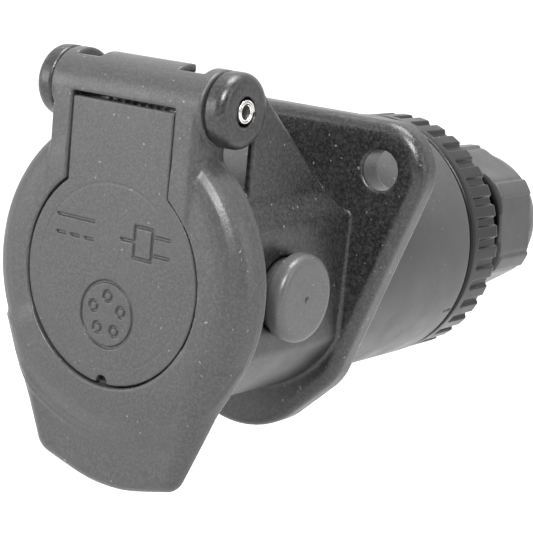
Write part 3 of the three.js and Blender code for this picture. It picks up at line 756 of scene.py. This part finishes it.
CONTACT_NODES = [
    "power_contact_1", "signal_contact_2", "signal_contact_3", "power_contact_4", "signal_contact_5",
]
# radius of the pin, of the barrel behind it, and of the hole for the wire
POWER_SIZES, SIGNAL_SIZES = (2.5, 3.5, 2.2), (1.75, 2.8, 1.5)
BARREL_Y, WIRE_DEPTH = -5, 8.5
INSERT_FACE_R, INSERT_BODY_R, INSERT_STEP_Y, CONTACT_GAP = 22.2, 19.7, -8, 0.25


def contact_place(node):
    middle = (low(node) + high(node)) / 2
    return middle[0], middle[2]


def contact_sizes(node):
    return POWER_SIZES if node.startswith("power") else SIGNAL_SIZES


def contact(name, node):
    """A round-nosed pin in front of a thicker barrel, which is open for the wire behind."""
    x, z = contact_place(node)
    pin_r, barrel_r, wire_r = contact_sizes(node)
    tip, end = low(node)[1], high(node)[1]
    profile = rounded([
        (0, tip), (pin_r, tip, pin_r * 0.8), (pin_r, BARREL_Y, 0.1), (barrel_r, BARREL_Y, 0.2),
        (barrel_r, end, 0.3), (wire_r, end, 0.2), (wire_r, end - WIRE_DEPTH), (0, end - WIRE_DEPTH),
    ], steps=9)
    return turned(name, profile, 48, (x, 0, z))


def insert_field(x, y, z):
    """The block that holds the contacts: a wide face, a narrower body and five stepped holes."""
    r = np.hypot(x, z)
    front, rear = low("contact_insert")[1], high("contact_insert")[1]
    solid = both(r - INSERT_FACE_R, between(y, front, INSERT_STEP_Y), 0.5)
    solid = union(solid, both(r - INSERT_BODY_R, between(y, INSERT_STEP_Y - 1, rear), 0.3))
    for node in CONTACT_NODES:
        cx, cz = contact_place(node)
        pin_r, barrel_r, _ = contact_sizes(node)
        at = np.hypot(x - cx, z - cz)
        wide = np.maximum(at - barrel_r - CONTACT_GAP, BARREL_Y - 0.2 - y)
        solid = cut(solid, np.minimum(at - pin_r - CONTACT_GAP, wide), 0.2)
    return solid


# ---------------------------------------------------------------- materials

def ramp(tree, source, stops):
    """A colour ramp over (position, grey or colour) stops."""
    node = tree.nodes.new("ShaderNodeValToRGB")
    elements = node.color_ramp.elements
    while len(elements) < len(stops):
        elements.new(0.5)
    for element, (position, value) in zip(elements, stops):
        element.position = position
        element.color = (*value, 1) if isinstance(value, tuple) else (value, value, value, 1)
    tree.links.new(source, node.inputs["Fac"])
    return node.outputs["Color"]


def noise(tree, coordinates, size_mm, detail=3.0, roughness=0.55):
    node = tree.nodes.new("ShaderNodeTexNoise")
    node.inputs["Scale"].default_value = 1000.0 / size_mm
    node.inputs["Detail"].default_value = detail
    node.inputs["Roughness"].default_value = roughness
    tree.links.new(coordinates, node.inputs["Vector"])
    return node.outputs["Fac"]


def mix(tree, share, first, second):
    """From the first colour towards a plain second one."""
    node = tree.nodes.new("ShaderNodeMix")
    node.data_type = "RGBA"
    tree.links.new(share, node.inputs["Factor"])
    tree.links.new(first, node.inputs["A"])
    node.inputs["B"].default_value = (*second, 1)
    return node.outputs["Result"]


def scaled(colour, gain, lift=0.0):
    """A lighter or darker tint of a colour."""
    return tuple(c * gain + lift for c in colour)


def new_material(name):
    material = bpy.data.materials.new(name)
    material.use_nodes = True
    tree = material.node_tree
    shader = tree.nodes["Principled BSDF"]
    coordinates = tree.nodes.new("ShaderNodeTexCoord").outputs["Object"]
    return material, tree, shader, coordinates


def bump(tree, shader, layers):
    """Height layers, each a (source, depth in mm), stacked into the shader's normal."""
    normal = None
    for source, depth_mm in layers:
        node = tree.nodes.new("ShaderNodeBump")
        node.inputs["Distance"].default_value = depth_mm * MM
        tree.links.new(source, node.inputs["Height"])
        if normal is not None:
            tree.links.new(normal, node.inputs["Normal"])
        normal = node.outputs["Normal"]
    tree.links.new(normal, shader.inputs["Normal"])


# sizes of the marks on the plastic, in millimetres
CLOUD_MM, FLECK_MM, DUST_MM, GLOSS_MM, WAVE_MM = 14, 0.3, 0.8, 6, 9
WAVE_DEPTH = 0.05
DUST = (0.30, 0.30, 0.29)


def plastic(
    name, colour, rough, grain_mm, grain_depth,
    speckle=0.0, fleck=0.0, edge=0.25, cloud=0.12, shine=0.36,
):
    """Moulded plastic: eroded grain, mottling, glass flecks, dust specks and a painted highlight that lightens
    sharp edges.
    """
    material, tree, shader, at = new_material(name)
    fine = noise(tree, at, grain_mm, 2.0, 0.6)
    broad = noise(tree, at, CLOUD_MM, 4.0)
    tone = ramp(tree, broad, [(0.35, scaled(colour, 1 - cloud)), (0.65, scaled(colour, 1 + cloud))])
    if speckle:
        mottle = noise(tree, at, grain_mm * 1.6, 3.0, 0.7)
        speckled = ramp(tree, mottle, [(0.42, 0.0), (0.68, 1.0)])
        tone = mix(tree, speckled, tone, scaled(colour, 1 + speckle, 0.004 * speckle))
    if fleck:
        flecked = ramp(tree, noise(tree, at, FLECK_MM, 0.0, 0.5), [(0.70, 0.0), (0.80, fleck)])
        tone = mix(tree, flecked, tone, scaled(colour, 2.6, 0.01))
    dusty = ramp(tree, noise(tree, at, DUST_MM, 0.0, 0.5), [(0.845, 0.0), (0.86, 0.35)])
    tone = mix(tree, dusty, tone, DUST)
    # painted highlight: sharp edges, found by pointiness, are lightened as if they caught the light
    if edge:
        point = tree.nodes.new("ShaderNodeNewGeometry").outputs["Pointiness"]
        edge_highlight = ramp(tree, point, [(0.515, 0.0), (0.60, edge)])
        tone = mix(tree, edge_highlight, tone, scaled(colour, 2.2, 0.01))
    tree.links.new(tone, shader.inputs["Base Color"])
    gloss = ramp(tree, noise(tree, at, GLOSS_MM, 3.0), [(0.3, rough - 0.05), (0.7, rough + 0.06)])
    tree.links.new(gloss, shader.inputs["Roughness"])
    shader.inputs["Specular IOR Level"].default_value = shine
    bump(tree, shader, [(noise(tree, at, WAVE_MM, 2.0), WAVE_DEPTH), (fine, grain_depth)])
    return material


def metal(name, colour, rough):
    """Turned metal with fine streaks across its length and slightly dull patches."""
    material, tree, shader, at = new_material(name)
    mapping = tree.nodes.new("ShaderNodeMapping")
    mapping.inputs["Scale"].default_value = (1, 1, 12)
    tree.links.new(at, mapping.inputs["Vector"])
    streaks = noise(tree, mapping.outputs["Vector"], 0.25, 2.0, 0.6)
    stain = ramp(tree, noise(tree, at, 3.0, 4.0), [(0.35, scaled(colour, 0.72)), (0.6, colour)])
    tree.links.new(stain, shader.inputs["Base Color"])
    gloss = ramp(tree, streaks, [(0.3, rough - 0.08), (0.7, rough + 0.1)])
    tree.links.new(gloss, shader.inputs["Roughness"])
    shader.inputs["Metallic"].default_value = 1.0
    bump(tree, shader, [(streaks, 0.004)])
    return material


def rubber(name, colour):
    """Dull rubber with a fine bloom."""
    material, tree, shader, at = new_material(name)
    broad = noise(tree, at, 5, 3.0)
    tone = ramp(tree, broad, [(0.35, colour), (0.7, scaled(colour, 1.5))])
    tree.links.new(tone, shader.inputs["Base Color"])
    tree.links.new(ramp(tree, broad, [(0.3, 0.72), (0.7, 0.88)]), shader.inputs["Roughness"])
    bump(tree, shader, [(noise(tree, at, 0.4, 2.0), 0.01)])
    return material


GRAINY = plastic(
    "grainy_black_plastic", (0.006, 0.006, 0.0061), 0.34, 0.40, 0.05, speckle=2.2, fleck=0.5, shine=0.45,
)
LID_PLASTIC = plastic("matte_lid_plastic", (0.028, 0.028, 0.0286), 0.37, 0.34, 0.04, speckle=0.6, cloud=0.06)
SMOOTH = plastic("satin_grey_plastic", (0.036, 0.0358, 0.0358), 0.36, 0.25, 0.008, speckle=0.2, shine=0.2)
RING_AND_SHELL_SHADE_PLASTIC = plastic("satin_dark_plastic", (0.007, 0.007, 0.007), 0.32, 0.25, 0.005, speckle=0.1, shine=0.18)
STUD_PLASTIC = plastic("stud_plastic", (0.042, 0.042, 0.042), 0.33, 0.25, 0.012, speckle=0.5)
INSERT_PLASTIC = plastic("insert_plastic", (0.012, 0.012, 0.014), 0.35, 0.25, 0.004, edge=0)
RUBBER = rubber("seal_rubber", (0.010, 0.010, 0.0105))
BRASS = metal("turned_brass", (0.72, 0.50, 0.20), 0.25)
STEEL = metal("bright_steel", (0.66, 0.65, 0.63), 0.30)


# ---------------------------------------------------------------- pieces on their bodies

def coat(piece, material):
    piece.data.materials.clear()
    piece.data.materials.append(material)


def fit_out(piece, material, body, node):
    """Gives a piece its looks and its body, in place of a frame node."""
    coat(piece, material)
    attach(piece, body)
    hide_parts(node)


def build_front():
    step = 0.55
    housing = skin("socket_housing", housing_field, low("front_housing"), high("front_housing"), step)
    fit_out(housing, GRAINY, "socket_body", "front_housing")
    for side, sign in (("right", 1), ("left", -1)):
        piece = stud(f"plug_stud_{side}", sign)
        fit_out(piece, STUD_PLASTIC, "socket_body", f"locking_stud_{side}")
    fit_out(coiled_pin("coiled_hinge_pin"), STEEL, "socket_body", "hinge_pin")
    spring = swept("lid_spring", spring_path(), 0.55)
    coat(spring, STEEL)
    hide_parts("torsion_spring")
    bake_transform(spring)


def build_contacts():
    insert = skin("contact_block", insert_field, low("contact_insert"), high("contact_insert"), 0.5)
    fit_out(insert, INSERT_PLASTIC, "socket_body", "contact_insert")
    for node in CONTACT_NODES:
        number = node[-1]
        fit_out(contact(f"contact_{number}", node), BRASS, "socket_body", node)
        coat(frame["nodes"][f"terminal_screw_{number}"], STEEL)
    coat(frame["nodes"]["insert_retaining_ring"], INSERT_PLASTIC)
    for node in ("sleeve_gasket", "shell_o_ring"):
        coat(frame["nodes"][node], RUBBER)


def build_lid():
    step = 0.4
    shell = skin("lid_shell", lid_field, low("lid"), high("lid"), step)
    fit_out(shell, LID_PLASTIC, "lid_assembly", "lid")
    inlay = skin("lid_plate", inlay_field, low("lid_inlay"), high("lid_inlay"), step * 0.6)
    fit_out(inlay, LID_PLASTIC, "lid_assembly", "lid_inlay")
    gasket = plain_ring("lid_seal", "lid_gasket", 23, 0.6)
    fit_out(gasket, RUBBER, "lid_assembly", "lid_gasket")


def build_rear():
    fit_out(sleeve("rear_sleeve"), SMOOTH, "socket_body", "extension_sleeve")
    fit_out(union_ring("fluted_ring"), RING_AND_SHELL_SHADE_PLASTIC, "union_ring_body", "union_ring")
    # painted shade: the gland shell gets the ring's near-black plastic so that the gap between the union ring
    # and the gland nut looks as dark as deep shade
    fit_out(rear_shell("gland_shell"), RING_AND_SHELL_SHADE_PLASTIC, "rear_shell_body", "rear_shell")
    fit_out(plain_ring("cable_seal", "gland_seal", 7, 0.4), RUBBER, "rear_shell_body", "gland_seal")
    slip = plain_ring("slip_washer", "gland_slip_ring", 8.5, 0.2)
    fit_out(slip, SMOOTH, "slip_ring_body", "gland_slip_ring")
    fit_out(gland_nut("hex_gland_nut"), SMOOTH, "gland_nut_body", "gland_nut")


# ---------------------------------------------------------------- camera, lights and floor

def camera():
    """The photo's view: up and to the right of the lid, a little tilted."""
    azimuth, elevation, roll = math.radians(35.387), math.radians(11.558), math.radians(5.596)
    distance, pan_right, pan_up = 0.37206, 0.00114, -0.00319
    lens_mm, sensor_mm, nearest = 115.1, 36, 0.01
    aim_y = FACE_Y * MM + 0.05
    flat = math.cos(elevation)
    back = Vector((math.sin(azimuth) * flat, -math.cos(azimuth) * flat, math.sin(elevation)))
    level = Vector((math.cos(azimuth), math.sin(azimuth), 0))
    upright = back.cross(level)
    right = math.cos(roll) * level + math.sin(roll) * upright
    up = -math.sin(roll) * level + math.cos(roll) * upright
    place = Vector((0, aim_y, 0)) + pan_right * right + pan_up * up + distance * back
    data = bpy.data.cameras.new("camera")
    data.lens = lens_mm
    data.sensor_width = sensor_mm
    data.clip_start = nearest
    view = bpy.data.objects.new("camera", data)
    view.matrix_world = Matrix.Translation(place) @ Matrix((right, up, back)).transposed().to_4x4()
    bpy.context.scene.collection.objects.link(view)
    bpy.context.scene.camera = view


def soft_box(name, place, size, power):
    """A rectangular lamp aimed at the origin; metres and watts."""
    data = bpy.data.lights.new(name, "AREA")
    data.shape = "RECTANGLE"
    data.size, data.size_y = size
    data.energy = power
    lamp = bpy.data.objects.new(name, data)
    lamp.location = place
    lamp.rotation_euler = (Vector() - Vector(place)).to_track_quat("-Z", "Y").to_euler()
    bpy.context.scene.collection.objects.link(lamp)


# where the tent is open, as a direction, and how its glow fades towards the middle of the opening
OPENING = (0.70, -0.70, -0.14)
GLOW = [(0.0, 1.0), (0.1, 0.55), (0.45, 0.55), (0.72, 0.06), (1.0, 0.02)]
GLOW_STRENGTH = 1.35


def tent():
    """A white tent with a dark opening where the camera looks in."""
    world = bpy.data.worlds.new("white tent")
    world.use_nodes = True
    tree = world.node_tree
    direction = tree.nodes.new("ShaderNodeTexCoord").outputs["Generated"]
    toward = tree.nodes.new("ShaderNodeVectorMath")
    toward.operation = "DOT_PRODUCT"
    toward.inputs[1].default_value = OPENING
    tree.links.new(direction, toward.inputs[0])
    background = tree.nodes["Background"]
    tree.links.new(ramp(tree, toward.outputs["Value"], GLOW), background.inputs["Color"])
    background.inputs["Strength"].default_value = GLOW_STRENGTH
    bpy.context.scene.world = world


FLOOR_SIZE, FLOOR_DROP, FLOOR_GREY, FLOOR_GLOW = 8, 0.03, 0.40, 0.66


def pale_floor():
    """A floor well below the part, lit from within so that it stays even and pale."""
    bpy.ops.mesh.primitive_plane_add(size=FLOOR_SIZE, location=(0, 0, TIP_Z * MM - FLOOR_DROP))
    floor = bpy.context.active_object
    floor.name = "floor"
    material, _, shader, _ = new_material("pale_floor")
    shader.inputs["Base Color"].default_value = (FLOOR_GREY, FLOOR_GREY, FLOOR_GREY, 1)
    shader.inputs["Roughness"].default_value = 0.9
    shader.inputs["Specular IOR Level"].default_value = 0.1
    shader.inputs["Emission Color"].default_value = (1, 1, 1, 1)
    shader.inputs["Emission Strength"].default_value = FLOOR_GLOW
    floor.data.materials.append(material)


def studio():
    """Tent, floor and four soft boxes."""
    tent()
    pale_floor()
    soft_box("top light", (0.0, 0.05, 0.9), (0.6, 0.3), 13)
    soft_box("top right light", (0.40, -0.74, 0.72), (0.4, 0.3), 20)
    soft_box("left front light", (-0.8, -0.95, 0.18), (0.6, 0.6), 8)
    soft_box("right side light", (0.9, 0.1, 0.3), (0.25, 0.8), 3)
    view = bpy.context.scene.view_settings
    view.view_transform = "Standard"
    view.look = "None"


camera()
build_front()
build_contacts()
build_lid()
build_rear()
studio()
